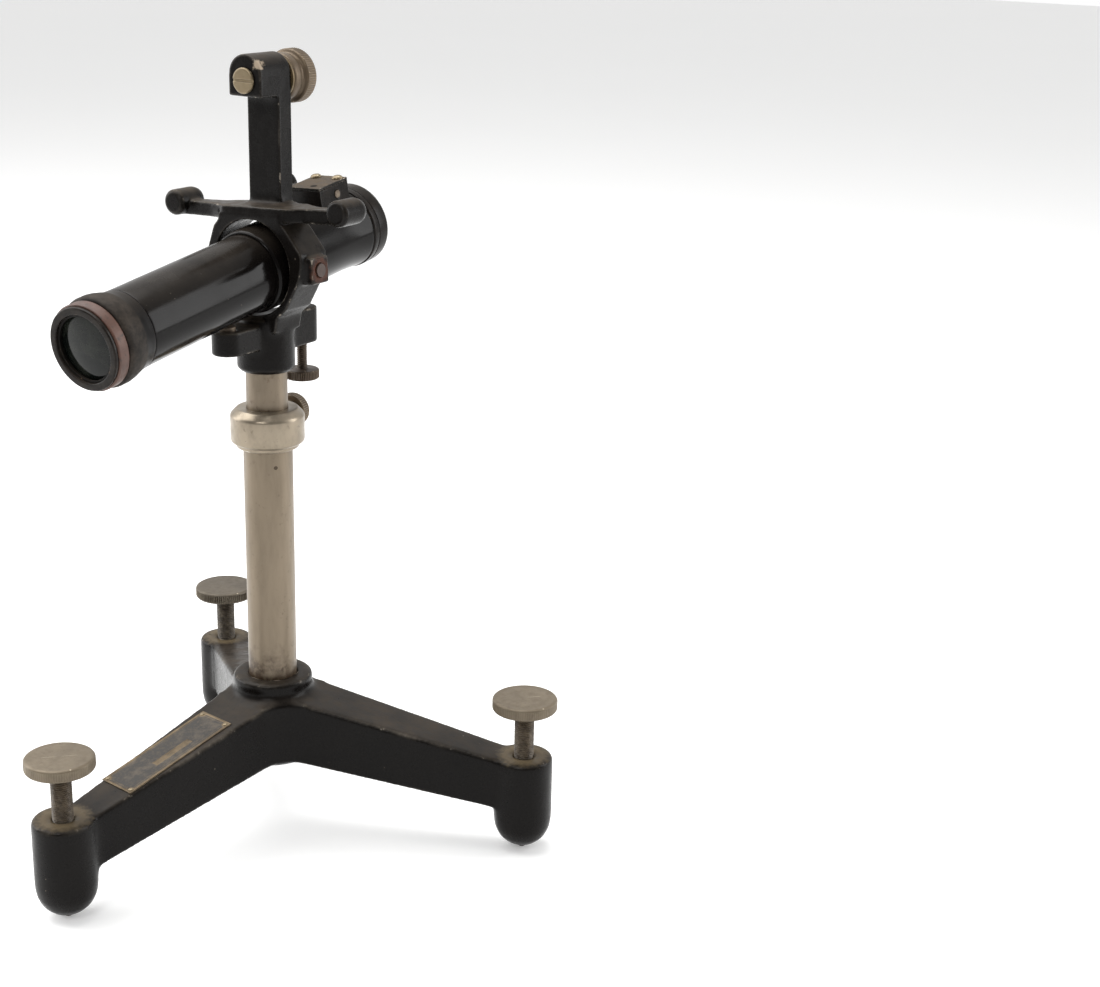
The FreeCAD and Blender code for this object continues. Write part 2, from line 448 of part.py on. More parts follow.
# focusing block, cover, pinion and knob
bw = val("block_half")
block = box(S("block_half") * 2, S("block_long"), S("block_top") - 9, (-bw, val("block_front"), 9), TP)
saddle = turned("block_saddle", [(0, 0), (tr, 0), (tr, 28), (tr + 0.35, 33.5), (S("flare_rad"), 38.0), (S("flare_rad"), 44), (0, 44)], scope(10))
py, ph = val("pinion_at"), val("pinion_height")
screws = [(-5.2, 44.0), (5.2, 44.0)]
node("pinion_block", cut("pinion_block", block, [
    saddle, box(4.8, 8.8, 20, (-2.4, py - 4.4, 5), TP), cyl(S("shaft_rad") + 0.06, 30, (-15, py, ph), (1, 0, 0), TP)]
    + [cyl(0.8, 6, (a, b, 17.0), frame=TP) for a, b in screws]))
cover = box(S("block_half") * 2, S("block_long"), S("plate_thick"), (-bw, val("block_front"), val("block_top")), TP)
node("pinion_cover", cut("pinion_cover", cover, [cyl(0.8, 6, (a, b, 19), frame=TP) for a, b in screws]
                         + [cyl(4.35, 4.8, (-2.4, py, ph), (1, 0, 0), TP)]))
for i, (a, b) in enumerate(screws):
    top = val("block_top") + val("plate_thick")
    node("cover_screw_%d" % (i + 1), turned("cover_screw_%d" % (i + 1), [
        (0, 0), (0.8, 0), (0.8, top - 17.2), (2.2, top - 17.2), (2.1, top - 16.7), (1.5, top - 16.2), (0, top - 15.9)],
        TP.multiply(Placement(V(a, b, 17.2), Rotation()))))

rp = MODULE * TEETH / 2
pitch = math.pi * MODULE
halfw = pitch / 4 - 0.07


def gear_outline():
    pts = []
    for i in range(TEETH):
        c = -math.pi / 2 + i * 2 * math.pi / TEETH
        for r, w in ((rp - 0.58, halfw + 0.17), (rp, halfw), (rp + 0.45, halfw - 0.17), (rp + 0.45, -halfw + 0.17), (rp, -halfw), (rp - 0.58, -halfw - 0.17)):
            a = c - w / r
            pts.append(V(0, r * math.cos(a), r * math.sin(a)))
    return pts + pts[:1]


wheel = doc.addObject("Part::Feature", "pinion_teeth")
wheel.Shape = Part.Face(Part.makePolygon(gear_outline())).extrude(V(3.8, 0, 0))
wheel.Placement = TP.multiply(Placement(V(-1.9, py, ph), Rotation()))
node("pinion_shaft", fuse("pinion_shaft", [wheel, cyl(S("shaft_rad"), 29.8, (-22.0, py, ph), (1, 0, 0), TP)]))
knob = turned("focus_knob_blank", [
    (S("shaft_rad"), 0), (3.2, 0), (3.2, 9.4), (S("knob_rad") - 0.5, 9.4), (S("knob_rad"), 9.9), (S("knob_rad"), 14.4),
    (S("knob_rad") - 0.6, 15.0), (0, 15.0), (0, 14.2), (S("shaft_rad"), 14.2)],
    TP.multiply(along((-7.8, py, ph), (-1, 0, 0))))
node("focus_knob", knob)

# draw tube with rack, cross-hair plate and eyepiece
ra, rb = 12.8, 43.4
drawn = turned("draw_tube_blank", [(S("draw_bore"), 0), (S("draw_rad"), 0), (S("draw_rad"), 55.5), (S("draw_bore"), 55.5)], scope(4))
node("draw_tube", cut("draw_tube", drawn, [box(4.0, rb - ra, 2, (-2.0, ra, 12.0), TP)]))
pl = ph - rp
pts = [V(0, ra, 12.0), V(0, rb, 12.0)]
root, tip = pl - 0.58, pl + 0.45
n0 = math.floor((rb - py) / pitch)
tops = []
k = n0
while py + (k + 0.5) * pitch - halfw - 0.2 > ra:
    c = py + (k + 0.5) * pitch
    if c + halfw + 0.2 < rb:
        tops += [V(0, c + halfw + 0.2, root), V(0, c + halfw - 0.16, tip), V(0, c - halfw + 0.16, tip), V(0, c - halfw - 0.2, root)]
    k -= 1
pts += [V(0, rb, root)] + tops + [V(0, ra, root), V(0, ra, 12.0)]
comb = doc.addObject("Part::Feature", "rack_comb")
comb.Shape = Part.Face(Part.makePolygon(pts)).extrude(V(4.0, 0, 0))
comb.Placement = TP.multiply(Placement(V(-2.0, 0, 0), Rotation()))
node("rack", comb)
node("eyepiece_holder", turned("eyepiece_holder", [
    (S("holder_bore"), 0), (S("draw_bore"), 0), (S("draw_bore"), 10), (S("draw_rad"), 10), (S("draw_rad") - 0.4, 10.6), (S("holder_bore"), 10.6)], scope(49.5)))
node("reticle_ring", turned("reticle_ring", [(6.0, 0), (S("draw_bore"), 0), (S("draw_bore"), 4), (7.2, 4), (7.2, 1.5), (6.0, 1.5)], scope(30)))
node("reticle_glass", turned("reticle_glass", [(0, 0), (7.2, 0), (7.2, 1.2), (0, 1.2)], scope(31.5)))
er = S("eye_rad")
node("eyepiece_barrel", turned("eyepiece_barrel", [
    (5.4, 0), (er, 0), (er, 22.5), (5.9, 22.5), (5.9, 3.4), (5.4, 3.4)], scope(38.5)))
node("field_lens", turned("field_lens", [(0, 0), (5.9, 0), (5.9, 1.2), (4, 2.0), (0, 2.6)], scope(42.0)))
node("eye_spacer", turned("eye_spacer", [(4.4, 0), (5.9, 0), (5.9, 11.9), (4.4, 11.9)], scope(44.0)))
node("eye_lens", turned("eye_lens", [(0, 0), (3, 0.35), (5.9, 1.3), (5.9, 2.4), (0, 2.4)], scope(55.3)))
node("eyepiece_cap", turned("eyepiece_cap", [
    (5.0, 0), (5.9, 0), (5.9, 3.2), (S("eyecap_rad"), 3.2), (S("eyecap_rad"), 6.5), (S("eyecap_rad") - 0.6, 7.1), (4.6, 7.1),
    (2.6, 3.9), (2.6, 3.2), (5.0, 3.2)], scope(57.8)))

doc.recompute()
bad = [o.Name for o in doc.Objects if "Invalid" in o.State or "Error" in o.State]
if bad:
    raise SystemExit("failed objects: " + ", ".join(bad))
for name, obj in NODES.items():
    s = obj.Shape
    if s.isNull() or not s.isValid():
        raise SystemExit("bad shape: " + name)
    print("%-24s vol %9.2f solids %d" % (name, s.Volume, len(s.Solids)))
    s.exportStep("parts/%s.step" % name)
print(len(NODES), "pieces")
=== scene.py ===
import bpy, json, math, random
import numpy as np
from mathutils import Matrix, Vector


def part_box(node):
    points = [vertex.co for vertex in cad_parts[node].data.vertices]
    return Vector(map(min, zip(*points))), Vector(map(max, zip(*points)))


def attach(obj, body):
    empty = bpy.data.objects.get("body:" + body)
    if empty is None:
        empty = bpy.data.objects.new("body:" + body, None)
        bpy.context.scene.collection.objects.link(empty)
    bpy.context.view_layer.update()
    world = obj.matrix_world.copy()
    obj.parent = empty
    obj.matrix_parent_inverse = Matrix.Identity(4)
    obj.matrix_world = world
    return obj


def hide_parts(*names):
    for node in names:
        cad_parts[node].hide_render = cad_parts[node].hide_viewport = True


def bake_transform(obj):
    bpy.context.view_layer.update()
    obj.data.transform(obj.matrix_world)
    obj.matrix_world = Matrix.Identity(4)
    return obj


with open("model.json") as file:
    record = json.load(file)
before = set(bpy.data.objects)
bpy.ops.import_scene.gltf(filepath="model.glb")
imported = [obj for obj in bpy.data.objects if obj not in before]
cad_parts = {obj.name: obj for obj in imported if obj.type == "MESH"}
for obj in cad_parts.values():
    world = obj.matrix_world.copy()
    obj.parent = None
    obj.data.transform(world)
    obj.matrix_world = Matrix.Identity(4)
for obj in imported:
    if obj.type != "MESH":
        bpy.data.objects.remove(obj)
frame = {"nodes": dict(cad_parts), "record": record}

random.seed(7)
np.random.seed(7)
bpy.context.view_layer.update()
rec = frame["record"]
BODY = {n: b for b, ns in rec["behaviour"]["bodies"].items() for n in ns}
JOINT = {j["name"]: j for j in rec["behaviour"]["joints"]}
MM = 0.001


# ---------------------------------------------------------------- places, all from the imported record
def axis_frame(pos, axis, up=(0, 0, 1)):
    z = Vector(axis).normalized()
    x = Vector(up).cross(z)
    x = Vector((1, 0, 0)) if x.length < 1e-6 else x.normalized()
    y = z.cross(x)
    m = Matrix((x, y, z)).transposed().to_4x4()
    m.translation = Vector(pos)
    return m


tilt = JOINT["telescope_tilt"]
TEL_X = -Vector(tilt["axis"]).normalized()
TEL_Y = Vector(JOINT["draw_travel"]["axis"]).normalized()
TEL_Z = TEL_X.cross(TEL_Y).normalized()
TP = Matrix((TEL_X, TEL_Y, TEL_Z)).transposed().to_4x4()
TP.translation = Vector(tilt["pos_m"])
ZP = tilt["pos_m"][2] * 1000


def T(x, y, z): return Matrix.Translation(Vector((x, y, z)) * MM)


def scope(y0): return TP @ T(0, y0, 0) @ Matrix.Rotation(-math.pi / 2, 4, "X")


def along(x, y, z, axis): return axis_frame(Vector((x, y, z)) * MM, axis)


# ---------------------------------------------------------------- meshes
def finish_piece(ob, nodes, mat, body=None, sharp=32):
    me = ob.data
    me.polygons.foreach_set("use_smooth", [True] * len(me.polygons))
    if sharp:
        me.set_sharp_from_angle(angle=math.radians(sharp))
    me.materials.clear()
    me.materials.append(mat)
    nodes = [nodes] if isinstance(nodes, str) else list(nodes)
    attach(ob, body or BODY[nodes[0]])
    if nodes:
        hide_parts(*nodes)
    return ob


def new_object(name, verts, faces):
    me = bpy.data.meshes.new(name)
    me.from_pydata([tuple(map(float, v)) for v in verts], [], faces)
    me.update()
    ob = bpy.data.objects.new(name, me)
    bpy.context.scene.collection.objects.link(ob)
    return ob


def rounded(prof, rad, closed):
    """Rounds each corner of a profile by a small arc."""
    n = len(prof)
    out = []
    for i in range(n):
        p = np.array(prof[i], float)
        if not closed and i in (0, n - 1):
            out.append(tuple(p))
            continue
        a, b = np.array(prof[i - 1], float) - p, np.array(prof[(i + 1) % n], float) - p
        la, lb = np.linalg.norm(a), np.linalg.norm(b)
        if la < 1e-6 or lb < 1e-6:
            continue
        cosang = np.dot(a, b) / la / lb
        if cosang < -0.94 or (p[0] < 1e-6):
            out.append(tuple(p))
            continue
        r = min(rad, 0.42 * la, 0.42 * lb)
        A, B = p + a / la * r, p + b / lb * r
        for t in (0.0, 0.33, 0.67, 1.0):
            out.append(tuple((1 - t) ** 2 * A + 2 * t * (1 - t) * p + t * t * B))
    return out


def split(prof, closed, step):
    """Adds points so that no stretch of the profile is longer than step(midpoint)."""
    out, n = [], len(prof)
    for i in range(n if closed else n - 1):
        a, b = np.array(prof[i], float), np.array(prof[(i + 1) % n], float)
        k = max(1, int(math.ceil(np.linalg.norm(b - a) / step((a + b) / 2))))
        for j in range(k):
            out.append(tuple(a + (b - a) * j / k))
    if not closed:
        out.append(tuple(prof[-1]))
    return out


def lathe(name, prof, place, mat, nodes, n=112, rad=0.25, shape=None, step=None, sharp=32, body=None):
    """prof is (radius, height) in mm. It is closed, or starts and ends on the axis. shape(theta, r, z) gives the worked radius."""
    closed = not (prof[0][0] < 1e-6 and prof[-1][0] < 1e-6)
    prof = rounded(prof, rad, closed)
    if step:
        prof = split(prof, closed, step)
    rows, verts = [], []
    for r, z in prof:
        if r < 1e-6:
            rows.append([len(verts)] * n)
            verts.append((0, 0, z))
            continue
        row = []
        for k in range(n):
            th = 2 * math.pi * k / n
            rr = shape(th, r, z) if shape else r
            row.append(len(verts))
            verts.append((rr * math.cos(th), rr * math.sin(th), z))
        rows.append(row)
    faces = []
    m = len(rows)
    for i in range(m if closed else m - 1):
        a, b = rows[i], rows[(i + 1) % m]
        for k in range(n):
            q = [a[k], a[(k + 1) % n], b[(k + 1) % n], b[k]]
            q = list(dict.fromkeys(q))
            if len(q) > 2:
                faces.append(q)
    ob = new_object(name, [place @ (Vector(v) * MM) for v in verts], faces)
    import bmesh
    bm = bmesh.new()
    bm.from_mesh(ob.data)
    bmesh.ops.recalc_face_normals(bm, faces=bm.faces)
    bm.to_mesh(ob.data)
    bm.free()
    return finish_piece(ob, nodes, mat, body, sharp)


def cast(name, node, mat, voxel, rounds, sharp=0, fillet=0, keep=None, bores=()):
    """A casting: the node's own shape, with its edges softened, its hollow corners filled to fillets, and its edges measured
    for wear. keep says which points (mm) stay as they are, such as the bores."""
    src = frame["nodes"][node]
    me = src.data.copy()
    ob = bpy.data.objects.new(name, me)
    bpy.context.scene.collection.objects.link(ob)
    me.transform(Matrix.Scale(1000, 4))
    me.materials.clear()
    w = ob.modifiers.new("weld", "WELD")
    w.merge_threshold = 0.002
    r = ob.modifiers.new("remesh", "REMESH")
    r.mode = "VOXEL"
    r.voxel_size = voxel
    r.adaptivity = 0
    dg = bpy.context.evaluated_depsgraph_get()
    new = bpy.data.meshes.new_from_object(ob.evaluated_get(dg))
    ob.modifiers.clear()
    ob.data = new
    new.name = name
    nv = len(new.vertices)
    ed = np.empty(len(new.edges) * 2, int)
    new.edges.foreach_get("vertices", ed)
    ed = ed.reshape(-1, 2)
    count = np.maximum(np.bincount(ed.ravel(), minlength=nv), 1)[:, None]

    def mean(c):
        out = np.empty_like(c)
        for k in range(c.shape[1]):
            out[:, k] = np.bincount(ed[:, 0], c[ed[:, 1], k], nv) + np.bincount(ed[:, 1], c[ed[:, 0], k], nv)
        return out / count

    def normals(c):
        new.vertices.foreach_set("co", c.ravel())
        new.update()
        n = np.empty(nv * 3)
        new.vertices.foreach_get("normal", n)
        return n.reshape(-1, 3)

    co = np.empty(nv * 3)
    new.vertices.foreach_get("co", co)
    co = co.reshape(-1, 3)
    for _ in range(2):
        co = co + 0.5 * (mean(co) - co)
    free = np.ones(nv) if keep is None else 1.0 - keep(co).astype(float)
    for i in range(fillet):
        if i % 6 == 0:
            nrm = normals(co)
        push = ((mean(co) - co) * nrm).sum(1)
        co = co + (0.6 * np.maximum(push - 0.0008, 0) * free)[:, None] * nrm
    for _ in range(rounds):
        co = co + 0.5 * (mean(co) - co)
    lo, hi = [np.array(v) * 1000 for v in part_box(node)]
    co = np.clip(co, lo, hi)
    nrm = normals(co)
    for x, y, radius, z0, z1 in bores:      # smoothing closes a bore a little, so its wall is set back to its own radius
        d = co[:, :2] - (x, y)
        r = np.maximum(np.hypot(d[:, 0], d[:, 1]), 1e-6)
        inward = (nrm[:, :2] * d).sum(1) / r < -0.5
        wall = inward & (np.abs(r - radius) < 0.9) & (co[:, 2] > z0) & (co[:, 2] < z1)
        co[wall, :2] = np.array((x, y)) + d[wall] * ((radius + 0.03) / r[wall])[:, None]
    wide = co
    for _ in range(14):
        wide = wide + 0.5 * (mean(wide) - wide)
    bend = ((co - wide) * nrm).sum(1) / voxel
    at = new.attributes.new("bend", "FLOAT", "POINT")
    at.data.foreach_set("value", bend.astype(np.float32))
    new.vertices.foreach_set("co", (co * 0.001).ravel())
    new.update()
    return finish_piece(ob, node, mat, sharp=sharp)


# ---------------------------------------------------------------- materials
class Shader:
    def __init__(self, name):
        self.m = bpy.data.materials.new(name)
        self.m.use_nodes = True
        self.t = self.m.node_tree
        self.t.nodes.clear()
        self.o = self.node("ShaderNodeOutputMaterial")
        self.b = self.node("ShaderNodeBsdfPrincipled")
        self.t.links.new(self.b.outputs[0], self.o.inputs[0])
        self.tc = self.node("ShaderNodeTexCoord")
        self.co = self.tc.outputs["Object"]

    def node(self, kind, **kw):
        n = self.t.nodes.new(kind)
        for k, v in kw.items():
            setattr(n, k, v)
        return n

    def put(self, sock, v):
        if hasattr(v, "links") or isinstance(v, bpy.types.NodeSocket):
            self.t.links.new(v, sock)
        else:
            sock.default_value = v

    def scaled(self, s, off=(0, 0, 0)):
        n = self.node("ShaderNodeMapping")
        n.inputs["Scale"].default_value = s
        n.inputs["Location"].default_value = off
        self.put(n.inputs["Vector"], self.co)
        return n.outputs[0]

    def noise(self, scale, detail=4, rough=0.55, vec=None, dist=0.0):
        n = self.node("ShaderNodeTexNoise")
        n.inputs["Scale"].default_value = scale
        n.inputs["Detail"].default_value = detail
        n.inputs["Roughness"].default_value = rough
        n.inputs["Distortion"].default_value = dist
        self.put(n.inputs["Vector"], vec or self.co)
        return n.outputs["Fac"]

    def specks(self, scale, size, vec=None):
        n = self.node("ShaderNodeTexVoronoi")
        n.inputs["Scale"].default_value = scale
        self.put(n.inputs["Vector"], vec or self.co)
        return self.span(n.outputs["Distance"], size, size * 0.6)

    def span(self, v, a, b, c=0.0, d=1.0):
        n = self.node("ShaderNodeMapRange")
        n.clamp = True
        self.put(n.inputs[0], v)
        for i, k in enumerate((a, b, c, d)):
            n.inputs[i + 1].default_value = k
        return n.outputs[0]

    def calc(self, op, a, b=0.0):
        n = self.node("ShaderNodeMath", operation=op)
        self.put(n.inputs[0], a)
        self.put(n.inputs[1], b)
        return n.outputs[0]

    def mix(self, f, a, b):
        n = self.node("ShaderNodeMix", data_type="RGBA")
        self.put(n.inputs[0], f)
        for s, v in ((n.inputs[6], a), (n.inputs[7], b)):
            self.put(s, v if not isinstance(v, tuple) else (*v[:3], 1.0))
        return n.outputs[2]

    def up(self):
        n = self.node("ShaderNodeSeparateXYZ")
        self.put(n.inputs[0], self.tc.outputs["Normal"])
        return n.outputs[2]

    def height(self):
        n = self.node("ShaderNodeSeparateXYZ")
        self.put(n.inputs[0], self.co)
        return n.outputs[2]

    def near(self, point, r0, r1):
        n = self.node("ShaderNodeVectorMath", operation="DISTANCE")
        self.put(n.inputs[0], self.co)
        n.inputs[1].default_value = point
        return self.span(n.outputs["Value"], r1, r0)

    def edges(self, a=0.52, b=0.60):
        n = self.node("ShaderNodeNewGeometry")
        return self.span(n.outputs["Pointiness"], a, b)

    def bump(self, h, strength, dist, under=None):
        n = self.node("ShaderNodeBump")
        n.inputs["Strength"].default_value = strength
        n.inputs["Distance"].default_value = dist
        self.put(n.inputs["Height"], h)
        if under is not None:
            self.put(n.inputs["Normal"], under)
        return n.outputs[0]

    def done(self, color, rough, metal=0.0, normal=None, **fixed):
        self.put(self.b.inputs["Base Color"], color if not isinstance(color, tuple) else (*color, 1.0))
        self.put(self.b.inputs["Roughness"], rough)
        self.put(self.b.inputs["Metallic"], metal)
        if normal is not None:
            self.put(self.b.inputs["Normal"], normal)
        for k, v in fixed.items():
            self.b.inputs[k.replace("_", " ")].default_value = v
        return self.m


def japanned(name, dust=0.5, marks_and_highlights=(), spec=0.10, rough0=0.22, rough1=0.36, worn=1.0):
    """Black stoved enamel: dusty on top, worn bare on its edges, dirty in its corners."""
    s = Shader(name)
    big, mid, fine = s.noise(60, 5, 0.6), s.noise(240, 5, 0.65), s.noise(900, 3, 0.6)
    bend = s.node("ShaderNodeAttribute", attribute_name="bend").outputs["Fac"]
    top = s.span(s.up(), 0.45, 0.97)
    d = s.calc("MULTIPLY", s.calc("MULTIPLY", top, s.span(big, 0.30, 0.66, 0.35, 1.0)), dust)
    d = s.calc("MULTIPLY", d, s.span(mid, 0.30, 0.60, 0.55, 1.0))
    corner = s.calc("MULTIPLY", s.span(bend, -0.05, -0.30), s.span(s.up(), -0.1, 0.6))
    d = s.calc("MAXIMUM", d, s.calc("MULTIPLY", corner, 0.75 * dust))
    base = s.mix(big, (0.0028, 0.0024, 0.0022), (0.0065, 0.0053, 0.0045))
    col = s.mix(d, base, (0.085, 0.066, 0.048))
    nick = s.calc("MULTIPLY", s.span(bend, 0.24, 0.44), s.span(mid, 0.57, 0.64, 0.0, worn))
    rub = s.calc("MULTIPLY", s.span(bend, 0.14, 0.42), s.span(big, 0.48, 0.62, 0.02, 0.16 * worn))
    wear = s.calc("MAXIMUM", nick, rub)
    col = s.mix(wear, col, (0.40, 0.35, 0.29))
    chips = s.calc("MULTIPLY", s.specks(260, 0.085), s.span(s.noise(75, 2), 0.60, 0.68))
    col = s.mix(chips, col, (0.12, 0.10, 0.08))
    # each mark is a coloured patch; some are real marks on the paint, and the rings around the feet are painted
    # highlights
    for point, r0, r1, tone, scale in marks_and_highlights:
        v = s.node("ShaderNodeVectorMath", operation="MULTIPLY")
        s.put(v.inputs[0], s.co)
        v.inputs[1].default_value = scale
        n = s.node("ShaderNodeVectorMath", operation="DISTANCE")
        s.put(n.inputs[0], v.outputs[0])
        n.inputs[1].default_value = tuple(p * k for p, k in zip(point, scale))
        wob = s.calc("ADD", n.outputs["Value"], s.span(s.noise(520, 4, 0.6), 0.3, 0.7, -0.0011, 0.0011))
        f = s.calc("MULTIPLY", s.span(wob, r1, r0), s.span(mid, 0.28, 0.42, 0.6, 1.0))
        col = s.mix(f, col, tone)
    rough = s.calc("ADD", s.span(mid, 0.3, 0.7, rough0, rough1), s.calc("MULTIPLY", d, 0.5))
    lumps = s.bump(s.noise(150, 3), 0.30, 0.0004)
    return s.done(col, rough, s.calc("MULTIPLY", wear, 0.5), s.bump(fine, 0.14, 0.00010, lumps), Specular_IOR_Level=spec)


def enamel(name, rough0=0.13, rough1=0.26, dull=0.0, spec=0.10, fade=None):
    """Glossy black enamel on brass, with fine dust, specks and rubbed edges. fade=(point, direction, length) is dull up to there."""
    s = Shader(name)
    big, mid, fine = s.noise(42, 4, 0.6), s.noise(180, 5, 0.7), s.noise(1000, 3)
    base = s.mix(big, (0.0018, 0.0015, 0.0015), (0.0048, 0.0039, 0.0034))
    dust = s.calc("MULTIPLY", s.span(s.up(), 0.45, 1.0), s.span(big, 0.36, 0.7, 0.10, 0.30))
    col = s.mix(dust, base, (0.075, 0.060, 0.046))
    wear = s.calc("MULTIPLY", s.edges(0.53, 0.60), s.span(mid, 0.50, 0.62))
    col = s.mix(wear, col, (0.17, 0.115, 0.07))
    pin = s.calc("MULTIPLY", s.specks(330, 0.07), s.span(s.noise(90, 2), 0.54, 0.62))
    col = s.mix(pin, col, (0.13, 0.11, 0.09))
    rough = s.calc("ADD", s.span(big, 0.3, 0.7, rough0, rough1), s.calc("MULTIPLY", dust, 0.5))
    if dull:
        k = s.span(mid, 0.42, 0.68, 0.25 * dull, dull)
        if fade:
            n = s.node("ShaderNodeVectorMath", operation="DOT_PRODUCT")
            s.put(n.inputs[0], s.co)
            n.inputs[1].default_value = fade[1]
            at = Vector(fade[0]).dot(Vector(fade[1]))
            here = s.span(n.outputs["Value"], at + fade[2] + 0.0006, at + fade[2] - 0.0004)
            k = s.calc("MULTIPLY", k, here)
            rough = s.calc("ADD", rough, s.calc("MULTIPLY", here, 0.22))
        col = s.mix(k, col, (0.050, 0.040, 0.032))
    scratch = s.noise(260, 5, 0.7, s.scaled((1, 0.12, 1)))
    return s.done(col, rough, s.calc("MULTIPLY", wear, 0.7), s.bump(fine, 0.045, 0.00006, s.bump(scratch, 0.05, 0.0001)), Specular_IOR_Level=spec)


def metal(name, light, dark, rough0, rough1, stain=None, stain_at=0.55, streak=(1, 1, 1), bumps=0.12, edge=None, low=None, bright=0.6,
          below=None, contrast=0.35):
    """Worn metal: two tones, stains, brighter edges, corrosion near the foot if low is given, and darker under a height if below is."""
    s = Shader(name)
    v = s.scaled(streak)
    big, mid, fine = s.noise(55, 4, 0.6, v), s.noise(300, 5, 0.62, v), s.noise(1500, 3)
    speck = s.noise(420, 4, 0.6)
    col = s.mix(s.span(big, 0.30, 0.70), dark, light)
    col = s.mix(s.span(mid, 0.45, 0.75, 0.0, contrast), col, tuple(0.6 * c for c in dark))
    m = None
    if stain:
        f = s.calc("MULTIPLY", s.span(speck, stain_at, stain_at + 0.10), s.span(s.noise(90, 4), 0.45, 0.60, 0.0, 0.85))
        col = s.mix(f, col, stain)
        m = f
    if low:
        z0, z1, tone = low
        edge_z = s.calc("ADD", s.height(), s.span(s.noise(170, 4, 0.6), 0.3, 0.7, -0.006, 0.006))
        g = s.calc("MULTIPLY", s.span(edge_z, z1, z0), s.span(speck, 0.36, 0.52, 0.35, 1.0))
        col = s.mix(g, col, tone)
        m = s.calc("MAXIMUM", m, g) if m is not None else g
    if edge:
        e = s.calc("MULTIPLY", s.edges(0.52, 0.58), s.span(speck, 0.35, 0.6, 0.4, 1.0))
        col = s.mix(e, col, edge)
    # below the given height the colour is darker and less metallic
    if below:
        g = s.span(s.height(), below[0], below[0] - 0.0004)
        below_tone = s.mix(s.span(speck, 0.4, 0.65), below[1], below[2])
        col = s.mix(g, col, below_tone)
        m = s.calc("MAXIMUM", m, s.calc("MULTIPLY", g, 0.7)) if m is not None else g
    rough = s.span(mid, 0.3, 0.7, rough0, rough1)
    met = s.span(m, 0.0, 1.0, bright, 0.2) if m is not None else bright
    return s.done(col, rough, met, s.bump(fine, bumps * 0.5, 0.00006, s.bump(mid, bumps, 0.00012)))


bolt_z = JOINT["scale_clamp_turn"]["pos_m"][2]
BOSS_END = abs(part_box("scale_clamp_bolt")[0][1]) - 0.0013
boss_hi = Vector(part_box("pivot_screw_right")[1])
feet = [Vector(JOINT["level_turn_" + k]["pos_m"]) for k in ("front", "right", "rear")]
foot_top = 0.0403
OBJ = TP @ (Vector((0, -90, 0)) * MM)
# the lighter ring around each foot's top is a painted highlight, where the foot meets the leg's fillet
M_IRON = japanned("japanned_iron", 0.42, [((f.x, f.y, foot_top), 0.0078, 0.0112, (0.120, 0.092, 0.056), (1, 1, 2.2)) for f in feet])
M_YOKE = japanned("japanned_yoke", 0.60, [
    ((boss_hi.x, 0.0, boss_hi.z - 0.0025), 0.0036, 0.0056, (0.060, 0.023, 0.014), (1, 1, 1)),
    ((0.0060, -BOSS_END + 0.0003, bolt_z + 0.0062), 0.0014, 0.0024, (0.30, 0.24, 0.175), (1, 0.8, 1.1))], worn=0.6, rough0=0.2, rough1=0.34)
M_TUBE = enamel("black_enamel", 0.10, 0.20)
M_CAP = enamel("black_enamel_worn", 0.16, 0.30, 0.25)
M_COVER = japanned("cover_enamel", 1.25, [(tuple(TP @ (Vector((2.6, 32.0, 21.7)) * MM)), 0.0010, 0.0016, (0.003, 0.003, 0.003), (0.75, 1.3, 1))])
M_DULL = enamel("dull_black", 0.24, 0.36, 0.75, fade=(OBJ, TEL_Y, 0.0088))
M_RIM = enamel("rim_black", 0.20, 0.34, 0.40)
M_COLUMN = metal("nickel_tube", (0.225, 0.180, 0.128), (0.180, 0.142, 0.098), 0.34, 0.46, (0.10, 0.075, 0.045), 0.58,
                 (1, 1, 0.18), 0.06, None, (0.0665, 0.079, (0.055, 0.034, 0.018)), 0.55, None, 0.36)
M_COLLAR = metal("nickel_collar", (0.285, 0.240, 0.180), (0.220, 0.182, 0.134), 0.27, 0.40, (0.13, 0.10, 0.065), 0.60, (1, 1, 0.6), 0.08, (0.60, 0.56, 0.48), None, 0.75, None, 0.4)
M_ROD = metal("steel_rod", (0.200, 0.160, 0.115), (0.155, 0.122, 0.085), 0.34, 0.46, (0.09, 0.06, 0.035), 0.57, (1, 1, 0.2), 0.06, None, None, 0.55, None, 0.4)
UNDER = 0.0598
M_DISC = metal("nickel_disc", (0.155, 0.122, 0.080), (0.108, 0.084, 0.054), 0.42, 0.58, (0.085, 0.062, 0.038), 0.58, (1, 1, 1), 0.18, (0.36, 0.31, 0.23),
               None, 0.35, (UNDER, (0.050, 0.036, 0.022), (0.105, 0.080, 0.052)), 0.4)
M_DISC2 = metal("nickel_disc_dark", (0.095, 0.077, 0.053), (0.060, 0.047, 0.032), 0.45, 0.6, (0.05, 0.036, 0.022), 0.56, (1, 1, 1), 0.18, (0.36, 0.31, 0.23),
                None, 0.35, (UNDER, (0.040, 0.030, 0.020), (0.10, 0.08, 0.055)), 0.4)
M_STEEL = metal("dark_steel", (0.085, 0.062, 0.043), (0.042, 0.030, 0.021), 0.42, 0.60, (0.06, 0.03, 0.016), 0.55, (1, 1, 1), 0.2, (0.16, 0.125, 0.09), None, 0.6)
M_BRONZE = metal("bronze", (0.125, 0.090, 0.055), (0.072, 0.050, 0.030), 0.34, 0.50, (0.05, 0.034, 0.02), 0.58, (1, 1, 1), 0.18, (0.30, 0.23, 0.15), None, 0.55)
M_PIVOT = metal("pivot_brown", (0.040, 0.020, 0.013), (0.016, 0.009, 0.006), 0.45, 0.60, (0.02, 0.010, 0.007), 0.52, (1, 1, 1), 0.2, None, None, 0.2)
M_TILT = metal("bronze_brown", (0.072, 0.049, 0.031), (0.038, 0.025, 0.016), 0.42, 0.58, (0.03, 0.02, 0.012), 0.57, (1, 1, 1), 0.2, (0.20, 0.15, 0.10), None, 0.4)
